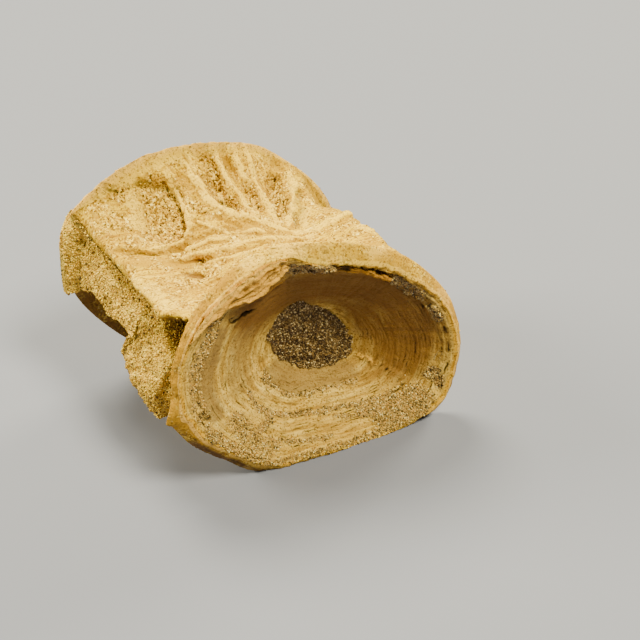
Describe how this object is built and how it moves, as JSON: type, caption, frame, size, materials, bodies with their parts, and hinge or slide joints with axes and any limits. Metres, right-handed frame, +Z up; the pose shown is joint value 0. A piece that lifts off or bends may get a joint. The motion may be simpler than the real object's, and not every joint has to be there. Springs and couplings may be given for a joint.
{
  "type": "fossil mosasaur vertebra",
  "caption": "Spool-shaped fossil vertebra on its side: deep ringed cups at both ends, a waisted flank with struts and pits, sand plug in the near cup and sand crust on the left flank.",
  "frame": {"origin": "centre of the bounding box in X and Y, on the ground under the two rims it rests on", "axes": "+Z up from the ground it lies on; Y along the spool, -Y at the cup that holds the sand plug; +X to the right when that cup is faced, so the sand crust is on the -X flank"},
  "size_m": [0.064, 0.044, 0.0476],
  "materials": {
    "fossil_bone": "dry fossil bone, cream to ochre, matt, with finely ringed cups",
    "cup_sand": "dark brown cemented sand, coarse and dull",
    "flank_sand": "pale buff cemented sand, coarse and dull"
  },
  "bodies": {
    "root": {"centrum": "fossil_bone", "cup_matrix": "cup_sand", "flank_matrix": "flank_sand"}
  },
  "joints": []
}
